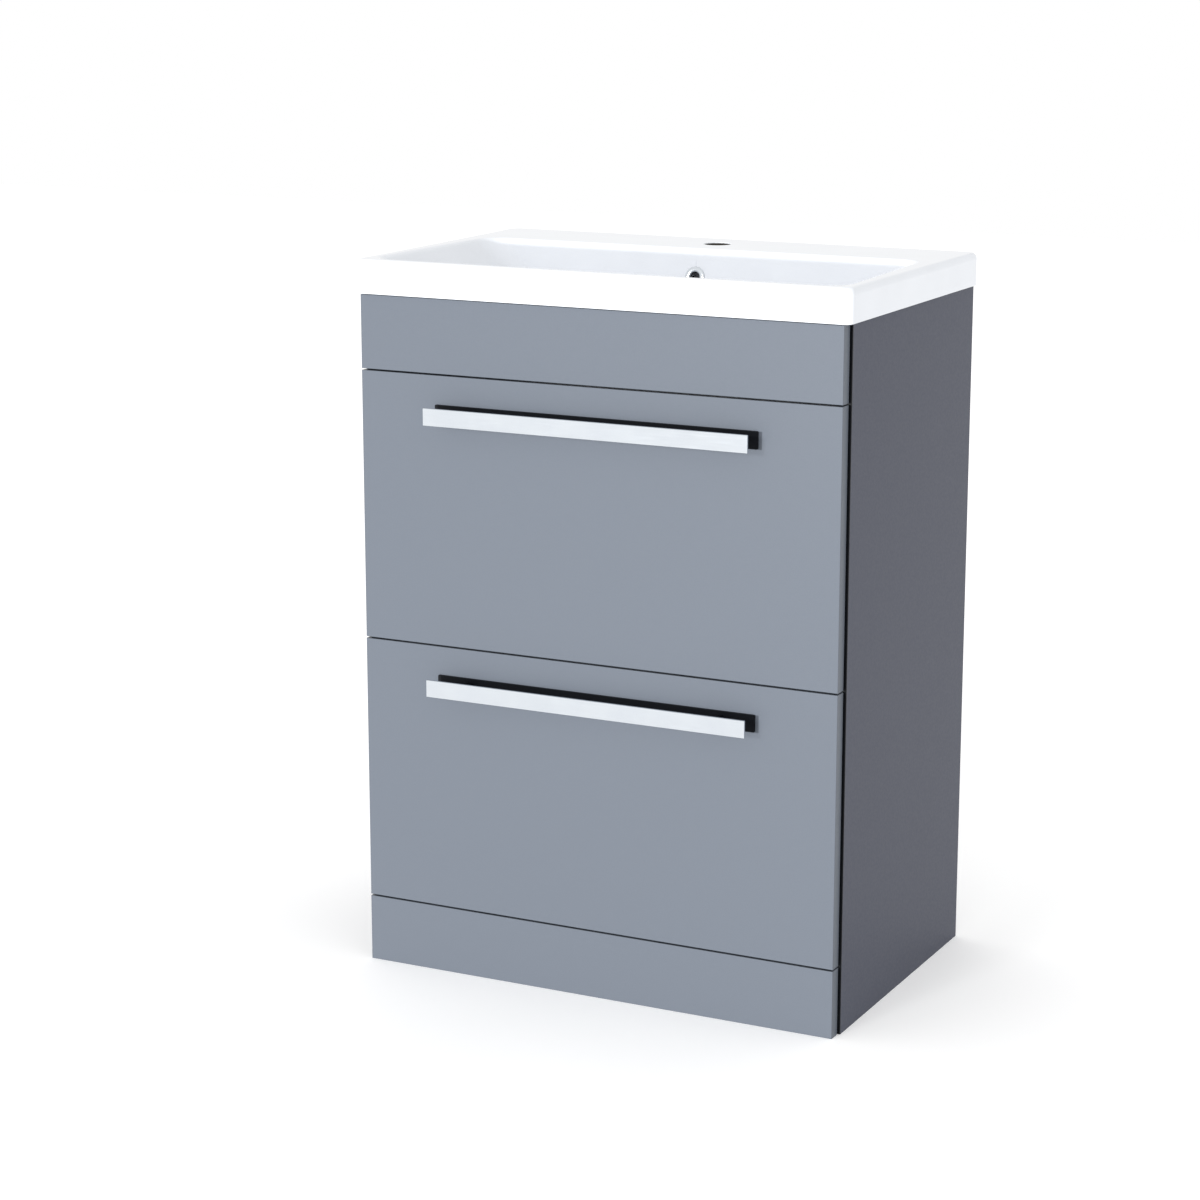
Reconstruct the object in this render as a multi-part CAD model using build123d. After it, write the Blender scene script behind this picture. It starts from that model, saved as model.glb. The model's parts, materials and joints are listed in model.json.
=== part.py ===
from build123d import *
import math
import os

# A 600 mm floor-standing bathroom vanity: a boarded cabinet with two drawers,
# under a ceramic basin. Millimetres, +Z up, front facing -Y, standing on z = 0,
# with x = 0 and y = 0 in the middle of the whole object's footprint.

# Cabinet
cabinet_width = 600.0
cabinet_depth = 390.0
board = 18.0
thin_board = 16.0
rail_height = 100.0
front_rail_height = 45.0
middle_rail_depth = 60.0
service_depth = 50.0
base_top = 82.0

# Fronts: plinth, lower drawer, upper drawer and fascia, from the floor up
front_side_reveal = 3.0
front_board = 16.0
bumper_thickness = 2.0
front_gap = 2.0
plinth_height = 79.0
drawer_front_height = 314.0
fascia_height = 85.0

# Basin
basin_front_overhang = 4.0
basin_side_overhang = 6.0
basin_edge_height = 39.0
basin_corner = 10.0
basin_edge_round = 8.0
ceramic = 12.0
bowl_wall = 10.0
bowl_side_rim = 16.0
bowl_side_taper = 10.0
bowl_front_rim = 18.0
bowl_rear_rim = 118.0
bowl_depth = 108.0
bowl_corner = 28.0
bowl_floor_corner = 30.0
bowl_end_slope = 108.0
bowl_front_slope = 52.0
bowl_rear_slope = 24.0
bowl_bottom_round = 26.0
bowl_lip_round = 5.0
tap_hole_radius = 16.0
tap_hole_from_wall = 62.0
waste_bore_radius = 22.5
waste_recess_radius = 33.0
waste_recess_depth = 3.0
waste_from_wall = 210.0
waste_boss_wall = 11.0
waste_boss_drop = 20.0
overflow_drop = 33.0
overflow_radius = 10.0
overflow_ring_radius = 12.3
overflow_ring_hole = 6.5
overflow_ring_proud = 1.6
overflow_ring_tube = 7.0
overflow_channel_width = 30.0
overflow_channel_depth = 9.0
channel_wall = 8.0
sealant_thickness = 1.0
sealant_width = 6.0
sealant_inset = 1.5

# Drawer boxes
box_board = 12.0
box_height = 170.0
box_rise = 20.0
base_board = 8.0
base_rise = 10.0
groove_depth = 6.0
groove_clearance = 0.1
trap_notch_width = 150.0
trap_reach = 60.0
runner_overlap = 20.0
front_screw_inset = 60.0
front_screw_low = 40.0
front_screw_high = 140.0

# Telescopic runners, measured from the cabinet side towards the drawer
runner_setback = 4.0
runner_end_gap = 2.0
runner_rise = 60.0
runner_thickness = 12.7
runner_height = 45.0
rail_sheet = 1.2
cabinet_flange_gap = 1.7
middle_flange_gap = 1.0
drawer_flange_gap = 0.7
ball_radius = 1.8
ball_clearance = 0.3
ball_hole_clearance = 0.1
cage_sheet = 0.6
cage_web_gap = 0.3
inner_cage_web_gap = 0.6
cage_arm_inset = 1.0
balls_per_row = 5
cage_end_margin = 8.0
cage_stop_margin = 2.0

# Handles
handle_length = 400.0
handle_height = 20.0
handle_bar_thickness = 3.0
handle_reach = 30.0
handle_drop = 33.0
handle_plate_thickness = 2.0
handle_plate_corner = 1.5
handle_post_radius = 5.0
handle_post_inset = 40.0
handle_bar_round = 0.5

# Fasteners
dowel_radius = 4.0
dowel_length = 30.0
dowel_in_side = 12.0
hole_clearance = 0.05
cam_radius = 7.5
cam_depth = 12.5
cam_inset = 24.0
cam_bolt_radius = 3.0
cam_bolt_in_side = 11.0
cam_slot = 1.6
cam_slot_depth = 1.5
screw_radius = 2.0
screw_head_radius = 4.0
screw_head_height = 2.2
front_screw_length = 25.0
panel_screw_length = 30.0
block_screw_length = 38.0
runner_screw_length = 13.0
runner_head_radius = 3.5
handle_screw_length = 26.0
pan_head_height = 2.4
wall_hole_radius = 3.25
wall_hole_spacing = 480.0
wall_hole_drop = 30.0
bumper_radius = 5.0
bumper_inset = 30.0
block_size = 30.0
block_width = 40.0
base_dowel_inset = 45.0
rail_dowel_inset = 12.0
front_rail_dowel_spread = 14.0
rear_rail_dowel_spread = 30.0
screw_tip_cover = 2.0
front_edge_round = 0.6

# Levels and planes worked out from the sizes above
wall_y = (cabinet_depth + handle_reach) / 2
front_y = wall_y - cabinet_depth
carcass_y = front_y + front_board + bumper_thickness
lower_front_z = plinth_height + front_gap
upper_front_z = lower_front_z + drawer_front_height + front_gap
fascia_z = upper_front_z + drawer_front_height + front_gap
cabinet_height = fascia_z + fascia_height
basin_z = cabinet_height + sealant_thickness
rim_z = basin_z + basin_edge_height
inner_half = cabinet_width / 2 - board
front_width = cabinet_width - 2 * front_side_reveal
basin_width = cabinet_width + 2 * basin_side_overhang
bowl_width = basin_width - 2 * bowl_side_rim
handle_post_spacing = handle_length - 2 * handle_post_inset
service_y = wall_y - thin_board - service_depth
box_half = inner_half - runner_thickness
box_y = front_y + front_board
drawer_levels = {"lower": lower_front_z, "upper": upper_front_z}
basin_front_y = front_y - basin_front_overhang
basin_depth = wall_y - basin_front_y
waste_y = wall_y - waste_from_wall
notch_y = waste_y - trap_reach
screw_rows = (0.12, 0.5, 0.88)
fascia_screw_share = 0.38
block_share = 0.34

# Where the runner sheets lie, from the cabinet side's inner face to the drawer box
runner_length = service_y - runner_end_gap - carcass_y - runner_setback
drawer_travel = runner_length - runner_overlap
middle_web = rail_sheet + 2 * cage_web_gap + cage_sheet
inner_cage_web = middle_web + rail_sheet + inner_cage_web_gap
drawer_web = runner_thickness - rail_sheet
cabinet_flange_end = runner_thickness - cabinet_flange_gap
middle_flange_end = drawer_web - middle_flange_gap
drawer_flange_start = inner_cage_web + cage_sheet + drawer_flange_gap


def slab(x0, x1, y0, y1, z0, z1):
    size = Box(x1 - x0, y1 - y0, z1 - z0)
    return Pos((x0 + x1) / 2, (y0 + y1) / 2, (z0 + z1) / 2) * size


def rod_x(x0, x1, y, z, radius):
    return Pos((x0 + x1) / 2, y, z) * Rot(0, 90, 0) * Cylinder(radius, abs(x1 - x0))


def rod_y(y0, y1, x, z, radius):
    return Pos(x, (y0 + y1) / 2, z) * Rot(90, 0, 0) * Cylinder(radius, abs(y1 - y0))


def rod_z(z0, z1, x, y, radius):
    return Pos(x, y, (z0 + z1) / 2) * Cylinder(radius, abs(z1 - z0))


def cone_y(y_head, y_tip, x, z, head_radius, tip_radius):
    # Head at y_head, narrowing to y_tip, which lies further towards -Y.
    turn = Pos(x, (y_head + y_tip) / 2, z) * Rot(-90, 0, 0)
    return turn * Cone(tip_radius, head_radius, y_head - y_tip)


def cut(solid, tools):
    for tool in tools:
        solid = solid - tool
    return solid


# --- Carcass joints: every board between the sides, with its dowels and cams ---

def board_joints():
    # name: (dowel centres, cam bolt centre, cam axis, face that the cam enters)
    base_z = base_top - thin_board / 2
    middle_z = upper_front_z - front_gap / 2
    rear_y = wall_y - thin_board / 2
    front_rail_y = carcass_y + thin_board / 2
    top_rail_z = cabinet_height - rail_height / 2
    low_rail_z = base_top + rail_height / 2
    front_rail_z = fascia_z + front_rail_height / 2
    spread = rear_rail_dowel_spread
    return {
        "base": ([(carcass_y + base_dowel_inset, base_z), (service_y - base_dowel_inset, base_z)],
                 ((carcass_y + service_y) / 2, base_z), "z", base_top - thin_board),
        "middle": ([(carcass_y + rail_dowel_inset, middle_z),
                    (carcass_y + middle_rail_depth - rail_dowel_inset, middle_z)],
                   (carcass_y + middle_rail_depth / 2, middle_z), "z", middle_z - thin_board / 2),
        "front": ([(front_rail_y, front_rail_z - front_rail_dowel_spread),
                   (front_rail_y, front_rail_z + front_rail_dowel_spread)],
                  (front_rail_y, front_rail_z), "y", carcass_y + thin_board),
        "rear_top": ([(rear_y, top_rail_z - spread), (rear_y, top_rail_z + spread)],
                     (rear_y, top_rail_z), "y", wall_y - thin_board),
        "rear_bottom": ([(rear_y, low_rail_z - spread), (rear_y, low_rail_z + spread)],
                        (rear_y, low_rail_z), "y", wall_y - thin_board),
    }


def dowel(side, y, z, grow=0.0):
    outer = side * (inner_half + dowel_in_side + grow)
    inner = side * (inner_half + dowel_in_side - dowel_length - grow)
    return rod_x(min(inner, outer), max(inner, outer), y, z, dowel_radius + grow)


def cam_bolt(side, y, z, grow=0.0):
    outer = side * (inner_half + cam_bolt_in_side + grow)
    inner = side * (inner_half - cam_inset + cam_slot - grow)
    return rod_x(min(inner, outer), max(inner, outer), y, z, cam_bolt_radius + grow)


def cam_body(side, centre, axis, face, grow=0.0):
    y, z = centre
    x = side * (inner_half - cam_inset)
    if axis == "z":
        return rod_z(face - grow, face + cam_depth + grow, x, y, cam_radius + grow)
    # The cams of upright rails enter from the room side or the drawer side.
    step = 1 if face < y else -1
    start, end = sorted((face - step * grow, face + step * (cam_depth + grow)))
    return rod_y(start, end, x, z, cam_radius + grow)


def joint_holes(name, side=None):
    dowels, bolt, axis, face = board_joints()[name]
    sides = (-1, 1) if side is None else (side,)
    tools = []
    for one in sides:
        tools += [dowel(one, y, z, hole_clearance) for y, z in dowels]
        tools.append(cam_bolt(one, *bolt, hole_clearance))
        if side is None:
            tools.append(cam_body(one, bolt, axis, face, hole_clearance))
    return tools


def dowels():
    return [dowel(side, y, z) for name in board_joints() for side in (-1, 1)
            for y, z in board_joints()[name][0]]


def cam_bolts():
    return [cam_bolt(side, *board_joints()[name][1]) for name in board_joints() for side in (-1, 1)]


def cam_locks():
    cams = []
    for dowel_list, bolt, axis, face in board_joints().values():
        for side in (-1, 1):
            cam = cam_body(side, bolt, axis, face) - cam_bolt(side, *bolt, hole_clearance * 4)
            x = side * (inner_half - cam_inset)
            y, z = bolt
            half, slot = cam_radius * 0.6, cam_slot / 2
            if axis == "z":
                cross = [slab(x - half, x + half, y - slot, y + slot, face, face + cam_slot_depth),
                         slab(x - slot, x + slot, y - half, y + half, face, face + cam_slot_depth)]
            else:
                step = cam_slot_depth if face < y else -cam_slot_depth
                y0, y1 = sorted((face, face + step))
                cross = [slab(x - half, x + half, y0, y1, z - slot, z + slot),
                         slab(x - slot, x + slot, y0, y1, z - half, z + half)]
            cams.append(cut(cam, cross))
    return cams


# --- Cabinet boards ---

def side_panel(side):
    outer = side * cabinet_width / 2
    inner = side * inner_half
    panel = slab(min(outer, inner), max(outer, inner), carcass_y, wall_y, 0, cabinet_height)
    tools = []
    for name in board_joints():
        tools += joint_holes(name, side)
    for level in drawer_levels.values():
        tools += [runner_screw(side, y, level, hole_clearance) for y in runner_screw_ys()]
    return cut(panel, tools)


def base_panel():
    panel = slab(-inner_half, inner_half, carcass_y, service_y, base_top - thin_board, base_top)
    tools = joint_holes("base")
    tools += [block_screw(x, "up", hole_clearance) for x in block_xs()]
    return cut(panel, tools)


def middle_rail():
    z = upper_front_z - front_gap / 2
    rail = slab(-inner_half, inner_half, carcass_y, carcass_y + middle_rail_depth,
                z - thin_board / 2, z + thin_board / 2)
    return cut(rail, joint_holes("middle"))


def front_rail():
    rail = slab(-inner_half, inner_half, carcass_y, carcass_y + thin_board,
                fascia_z, fascia_z + front_rail_height)
    tools = joint_holes("front") + [fascia_screw(x, hole_clearance) for x in fascia_xs()]
    return cut(rail, tools)


def rear_top_rail():
    rail = slab(-inner_half, inner_half, wall_y - thin_board, wall_y,
                cabinet_height - rail_height, cabinet_height)
    z = cabinet_height - wall_hole_drop
    holes = [rod_y(wall_y - thin_board, wall_y, side * wall_hole_spacing / 2, z, wall_hole_radius)
             for side in (-1, 1)]
    return cut(rail, joint_holes("rear_top") + holes)


def rear_bottom_rail():
    rail = slab(-inner_half, inner_half, wall_y - thin_board, wall_y,
                base_top, base_top + rail_height)
    return cut(rail, joint_holes("rear_bottom"))


# --- Fixed front panels ---

def fascia_xs():
    return (-front_width * fascia_screw_share, 0.0, front_width * fascia_screw_share)


def block_xs():
    return (-front_width * block_share, 0.0, front_width * block_share)


def fascia_screw(x, grow=0.0):
    head_y = carcass_y + thin_board
    z = fascia_z + front_rail_height / 2
    shank = rod_y(head_y - panel_screw_length - grow, head_y, x, z, screw_radius + grow)
    head = cone_y(head_y, head_y - screw_head_height, x, z,
                  screw_head_radius + grow, screw_radius + grow)
    return shank + head


def block_screw(x, way, grow=0.0):
    # Each plinth block has one screw up into the base and one forward into the plinth.
    under = base_top - thin_board - block_size
    if way == "up":
        y = carcass_y + block_size * 0.5
        shank = rod_z(under, under + block_screw_length + grow, x - block_width / 4, y,
                      screw_radius + grow)
        head = Pos(x - block_width / 4, y, under + screw_head_height / 2) * Cone(
            screw_head_radius + grow, screw_radius + grow, screw_head_height)
        return shank + head
    back = carcass_y + block_size
    z = under + block_size / 2
    shank = rod_y(back - block_screw_length - grow, back, x + block_width / 4, z,
                  screw_radius + grow)
    head = cone_y(back, back - screw_head_height, x + block_width / 4, z,
                  screw_head_radius + grow, screw_radius + grow)
    return shank + head


def fascia_panel():
    panel = front_panel(fascia_z, fascia_height)
    return cut(panel, [fascia_screw(x, hole_clearance) for x in fascia_xs()])


def plinth_panel():
    panel = front_panel(0, plinth_height)
    return cut(panel, [block_screw(x, "forward", hole_clearance) for x in block_xs()])


def plinth_blocks():
    z1 = base_top - thin_board
    blocks = []
    for x in block_xs():
        block = slab(x - block_width / 2, x + block_width / 2,
                     front_y + front_board, carcass_y + block_size, z1 - block_size, z1)
        blocks.append(cut(block, [block_screw(x, "up", hole_clearance),
                                  block_screw(x, "forward", hole_clearance)]))
    return blocks


def panel_screws():
    screws = [fascia_screw(x) for x in fascia_xs()]
    return screws + [block_screw(x, way) for x in block_xs() for way in ("up", "forward")]


def front_panel(z, height):
    panel = slab(-front_width / 2, front_width / 2, front_y, front_y + front_board, z, z + height)
    return fillet(panel.faces().sort_by(Axis.Y)[0].edges(), front_edge_round)


def bumpers():
    y0, y1 = front_y + front_board, carcass_y
    x = (front_width / 2 + inner_half) / 2
    discs = []
    for side in (-1, 1):
        for level in drawer_levels.values():
            for z in (level + bumper_inset, level + drawer_front_height - bumper_inset):
                discs.append(rod_y(y0, y1, side * x, z, bumper_radius))
    for x in fascia_xs():
        z = fascia_z + front_rail_height / 2
        disc = rod_y(y0, y1, x, z, bumper_radius)
        discs.append(disc - rod_y(y0, y1, x, z, screw_radius + hole_clearance))
    return discs


# --- Basin ---

def basin_section(x_front, x_rear, y0, y1, z, corner):
    # A four-sided outline, x_front and x_rear being half its width at y0 and y1.
    corners = [(-x_front, y0), (x_front, y0), (x_rear, y1), (-x_rear, y1)]
    outline = Polygon(*corners, align=None)
    return Pos(0, 0, z) * fillet(outline.vertices(), corner)


def bowl_profile(drop, grow, reach=0.0):
    # The bowl's rounded outline at a depth below the rim, grown outwards by a wall.
    share = (drop + reach) / bowl_depth
    y0 = basin_front_y + bowl_front_rim + bowl_front_slope * share - grow
    y1 = wall_y - bowl_rear_rim - bowl_rear_slope * share + grow
    x_front = bowl_width / 2 - bowl_end_slope * share + grow
    corner = bowl_corner + (bowl_floor_corner - bowl_corner) * share + grow
    return basin_section(x_front, x_front - bowl_side_taper, y0, y1, rim_z - drop, corner)


def overflow_place():
    tilt = math.degrees(math.atan2(bowl_rear_slope, bowl_depth))
    y = wall_y - bowl_rear_rim - bowl_rear_slope * overflow_drop / bowl_depth
    return Pos(0, y, rim_z - overflow_drop) * Rot(90 - tilt, 0, 0)


def overflow_channels():
    # Down behind the bowl's rear wall, then forward under its floor to the waste bore.
    back = wall_y - bowl_rear_rim + bowl_wall + overflow_channel_depth
    half = overflow_channel_width / 2
    floor_z = rim_z - bowl_depth - bowl_wall
    low = floor_z - overflow_channel_depth
    top = rim_z - overflow_drop + overflow_radius
    void = slab(-half, half, back - overflow_channel_depth, back, low, top)
    void += slab(-half, half, waste_y, back, low, floor_z)
    wall = channel_wall
    shell_y = wall_y - bowl_rear_rim - bowl_rear_slope
    shell = slab(-half - wall, half + wall, shell_y, back + wall, low - wall, rim_z - ceramic)
    shell += slab(-half - wall, half + wall, waste_y, back + wall, low - wall, floor_z + wall)
    return void, shell


def basin():
    half = basin_width / 2
    outline = basin_section(half, half, basin_front_y, wall_y, basin_z, basin_corner)
    body = extrude(outline, amount=basin_edge_height)
    body = fillet(body.edges().group_by(Axis.Z)[-1], basin_edge_round)
    hollow = basin_section(half - ceramic, half - ceramic, basin_front_y + ceramic,
                           wall_y - ceramic, basin_z, basin_corner - ceramic / 2)
    body -= extrude(hollow, amount=basin_edge_height - ceramic)
    outer = loft([bowl_profile(ceramic / 2, bowl_wall),
                  bowl_profile(bowl_depth + bowl_wall, bowl_wall, -bowl_wall)])
    outer = fillet(outer.edges().group_by(Axis.Z)[0], bowl_bottom_round + bowl_wall / 2)
    void, shell = overflow_channels()
    floor_z = rim_z - bowl_depth
    boss_z = floor_z - bowl_wall - waste_boss_drop
    boss = rod_z(boss_z, floor_z - bowl_wall / 2, 0, waste_y, waste_bore_radius + waste_boss_wall)
    inner = loft([bowl_profile(0, 0), bowl_profile(bowl_depth, 0)])
    inner = fillet(inner.edges().group_by(Axis.Z)[0], bowl_bottom_round)
    body = body + outer + shell + boss - inner
    body = fillet(rim_edges(body), bowl_lip_round)
    overflow = overflow_place() * Cylinder(overflow_radius, 4 * bowl_wall)
    body = cut(body, [
        void,
        overflow,
        rod_z(boss_z, floor_z, 0, waste_y, waste_bore_radius),
        rod_z(floor_z - waste_recess_depth, floor_z, 0, waste_y, waste_recess_radius),
        rod_z(basin_z, rim_z, 0, wall_y - tap_hole_from_wall, tap_hole_radius),
    ])
    return body


def rim_edges(body):
    top = body.faces().filter_by(Axis.Z).sort_by(Axis.Z)[-1]
    return top.inner_wires()[0].edges()


def overflow_ring():
    sleeve = Pos(0, 0, -overflow_ring_tube / 2) * Cylinder(
        overflow_radius - hole_clearance, overflow_ring_tube)
    flange = Pos(0, 0, overflow_ring_proud / 2) * Cylinder(overflow_ring_radius, overflow_ring_proud)
    flange = fillet(flange.edges().group_by(Axis.Z)[-1], overflow_ring_proud * 0.6)
    bore = Cylinder(overflow_ring_hole, 4 * overflow_ring_tube)
    return overflow_place() * (sleeve + flange - bore)


def basin_sealant():
    z0, z1 = cabinet_height, basin_z
    x1 = cabinet_width / 2 - sealant_inset
    x0 = x1 - sealant_width
    y0, y1 = carcass_y + sealant_inset, wall_y - sealant_inset
    strips = [slab(min(side * x0, side * x1), max(side * x0, side * x1), y0, y1, z0, z1)
              for side in (-1, 1)]
    strips.append(slab(-x0 + sealant_width, x0 - sealant_width, y1 - sealant_width, y1, z0, z1))
    return strips


# --- Drawers ---

def handle_z(level):
    return level + drawer_front_height - handle_drop - handle_height / 2


def front_screw_places(level):
    x = box_half - front_screw_inset
    low = level + box_rise + front_screw_low
    high = level + box_rise + front_screw_high
    return [(sx * x, z) for sx in (-1, 1) for z in (low, high)]


def front_screw(x, z, grow=0.0):
    head_y = box_y + box_board
    shank = rod_y(head_y - front_screw_length - grow, head_y, x, z, screw_radius + grow)
    return shank + cone_y(head_y, head_y - screw_head_height, x, z,
                          screw_head_radius + grow, screw_radius + grow)


def handle_screw(x, z, grow=0.0):
    shank = rod_y(box_y - handle_screw_length - grow, box_y, x, z, screw_radius + grow)
    if grow:
        return shank
    head = rod_y(box_y, box_y + pan_head_height, x, z, screw_head_radius)
    return shank + fillet(head.edges().group_by(Axis.Y)[-1], pan_head_height * 0.6)


def post_xs():
    return (-handle_post_spacing / 2, handle_post_spacing / 2)


def drawer_front(level):
    z = handle_z(level)
    panel = front_panel(level, drawer_front_height)
    tools = [front_screw(x, sz, hole_clearance) for x, sz in front_screw_places(level)]
    return cut(panel, tools + [handle_screw(x, z, hole_clearance) for x in post_xs()])


def handle_bar(level):
    z = handle_z(level)
    bar = slab(-handle_length / 2, handle_length / 2, front_y - handle_reach,
               front_y - handle_reach + handle_bar_thickness,
               z - handle_height / 2, z + handle_height / 2)
    return fillet(bar.edges(), handle_bar_round)


def handle_back_plate(level):
    z = handle_z(level)
    plate = slab(-handle_length / 2, handle_length / 2, front_y - handle_plate_thickness, front_y,
                 z - handle_height / 2, z + handle_height / 2)
    plate = fillet(plate.edges().filter_by(Axis.Y), handle_plate_corner)
    return cut(plate, [handle_screw(x, z, hole_clearance) for x in post_xs()])


def handle_posts(level):
    z = handle_z(level)
    back = front_y - handle_plate_thickness
    bar = front_y - handle_reach + handle_bar_thickness
    return [rod_y(bar, back, x, z, handle_post_radius) - handle_screw(x, z, hole_clearance)
            for x in post_xs()]


def handle_screws(level):
    return [handle_screw(x, handle_z(level)) for x in post_xs()]


def front_screws(level):
    return [front_screw(x, z) for x, z in front_screw_places(level)]


def box_levels(level):
    bottom = level + box_rise
    base_z = bottom + base_rise
    return bottom, base_z, base_z + base_board, bottom + box_height


def base_cutter(level):
    # The groove that runs round the inside of the box and holds its base.
    base_z, base_top_z = box_levels(level)[1:3]
    reach = groove_depth + groove_clearance
    inner = box_half - box_board
    return slab(-inner - reach, inner + reach, box_y + box_board - reach,
                service_y - box_board + reach, base_z - groove_clearance,
                base_top_z + groove_clearance)


def box_side(level, side):
    bottom, base_z, base_top_z, top = box_levels(level)
    outer, inner = side * box_half, side * (box_half - box_board)
    board_blank = slab(min(outer, inner), max(outer, inner), box_y, service_y, bottom, top)
    screws = [rail_screw(side, y, level, hole_clearance) for y in runner_screw_ys()]
    return cut(board_blank, [base_cutter(level)] + screws)


def box_front(level):
    bottom, base_z, base_top_z, top = box_levels(level)
    inner = box_half - box_board
    board_blank = slab(-inner, inner, box_y, box_y + box_board, bottom, top)
    screws = [front_screw(x, z, hole_clearance) for x, z in front_screw_places(level)]
    return cut(board_blank, [base_cutter(level)] + screws)


def box_back(level, notched):
    bottom, base_z, base_top_z, top = box_levels(level)
    inner = box_half - box_board
    y0 = service_y - box_board
    if not notched:
        return slab(-inner, inner, y0, service_y, bottom, top) - base_cutter(level)
    x0 = trap_notch_width / 2 + box_board
    return [slab(min(side * x0, side * inner), max(side * x0, side * inner),
                 y0, service_y, bottom, top) - base_cutter(level) for side in (-1, 1)]


def box_base(level, notched):
    bottom, base_z, base_top_z, top = box_levels(level)
    x1 = box_half - box_board + groove_depth
    panel = slab(-x1, x1, box_y + box_board - groove_depth, service_y - box_board + groove_depth,
                 base_z, base_top_z)
    if not notched:
        return panel
    half = trap_notch_width / 2
    return panel - slab(-half, half, notch_y, service_y, base_z, base_top_z)


def trap_surround_sides(level):
    top_of_base, top = box_levels(level)[2:]
    x0 = trap_notch_width / 2
    return [slab(min(side * x0, side * (x0 + box_board)), max(side * x0, side * (x0 + box_board)),
                 notch_y, service_y, top_of_base, top) for side in (-1, 1)]


def trap_surround_front(level):
    top_of_base, top = box_levels(level)[2:]
    x1 = trap_notch_width / 2 + box_board
    return slab(-x1, x1, notch_y - box_board, notch_y, top_of_base, top)


# --- Runners ---

def runner_span():
    start = carcass_y + runner_setback
    return start, start + runner_length


def runner_centre(level):
    return level + box_rise + runner_rise


def runner_screw_ys():
    start, end = runner_span()
    return [start + (end - start) * share for share in screw_rows]


def at(side, reach):
    # The x of a point that lies reach from the cabinet side's inner face.
    return side * (inner_half - reach)


def across(side, reach0, reach1, y0, y1, z0, z1):
    x0, x1 = sorted((at(side, reach0), at(side, reach1)))
    return slab(x0, x1, y0, y1, z0, z1)


def channel(side, web_reach, flange_from, flange_to, half_height, z):
    start, end = runner_span()
    rail = across(side, web_reach, web_reach + rail_sheet, start, end,
                  z - half_height, z + half_height)
    rail += across(side, flange_from, flange_to, start, end,
                   z + half_height - rail_sheet, z + half_height)
    rail += across(side, flange_from, flange_to, start, end,
                   z - half_height, z - half_height + rail_sheet)
    return rail


def race_heights():
    cabinet_half = runner_height / 2
    ball_room = 2 * (ball_radius + ball_clearance)
    middle_half = cabinet_half - rail_sheet - ball_room
    drawer_half = middle_half - rail_sheet - ball_room
    return cabinet_half, middle_half, drawer_half


def runner_screw(side, y, level, grow=0.0):
    z = runner_centre(level)
    tip = at(side, -runner_screw_length - grow)
    head = at(side, rail_sheet)
    shank = rod_x(min(tip, head), max(tip, head), y, z, screw_radius + grow)
    turn = Pos(at(side, rail_sheet / 2), y, z) * Rot(0, -side * 90, 0)
    return shank + turn * Cone(screw_radius + grow, runner_head_radius + grow, rail_sheet)


def rail_screw(side, y, level, grow=0.0):
    z = runner_centre(level)
    head = at(side, drawer_web)
    tip = at(side, runner_thickness + box_board - screw_tip_cover + grow)
    shank = rod_x(min(tip, head), max(tip, head), y, z, screw_radius + grow)
    turn = Pos(at(side, runner_thickness - rail_sheet / 2), y, z) * Rot(0, side * 90, 0)
    return shank + turn * Cone(screw_radius + grow, runner_head_radius + grow, rail_sheet)


def cabinet_rail(level, side):
    half = race_heights()[0]
    rail = channel(side, 0, 0, cabinet_flange_end, half, runner_centre(level))
    return cut(rail, [runner_screw(side, y, level, hole_clearance) for y in runner_screw_ys()])


def middle_rails(level):
    half = race_heights()[1]
    return [channel(side, middle_web, middle_web, middle_flange_end, half, runner_centre(level))
            for side in (-1, 1)]


def drawer_rail(level, side):
    half = race_heights()[2]
    rail = channel(side, drawer_web, drawer_flange_start, runner_thickness, half,
                   runner_centre(level))
    return cut(rail, [rail_screw(side, y, level, hole_clearance) for y in runner_screw_ys()])


def cage_span():
    # The cages lie where the rails still overlap with the drawer fully open.
    start, end = runner_span()
    first = start + drawer_travel / 4 + cage_stop_margin
    return first, end - drawer_travel / 4 - cage_stop_margin


def ball_cage(level, web_reach, arm_end, ball_reach, ball_height):
    start, end = cage_span()
    pitch = (end - start - 2 * cage_end_margin) / (balls_per_row - 1)
    ball_ys = [start + cage_end_margin + pitch * step for step in range(balls_per_row)]
    centre = runner_centre(level)
    half = cage_sheet / 2
    solids = []
    for side in (-1, 1):
        cage = across(side, web_reach, web_reach + cage_sheet, start, end,
                      centre - ball_height - half, centre + ball_height + half)
        for row in (-1, 1):
            z = centre + row * ball_height
            cage += across(side, web_reach, arm_end, start, end, z - half, z + half)
            for y in ball_ys:
                place = Pos(at(side, ball_reach), y, z)
                cage -= place * Cylinder(ball_radius + ball_hole_clearance, 2 * cage_sheet)
                solids.append(place * Sphere(ball_radius))
        solids.append(cage)
    return solids


def outer_ball_cages(level):
    height = race_heights()[0] - rail_sheet - ball_radius - ball_clearance
    middle = (middle_web + middle_flange_end) / 2
    return ball_cage(level, rail_sheet + cage_web_gap, middle_flange_end - cage_arm_inset,
                     middle, height)


def inner_ball_cages(level):
    height = race_heights()[1] - rail_sheet - ball_radius - ball_clearance
    middle = (drawer_flange_start + middle_flange_end) / 2
    return ball_cage(level, inner_cage_web, middle_flange_end, middle, height)


# --- All nodes ---

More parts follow.
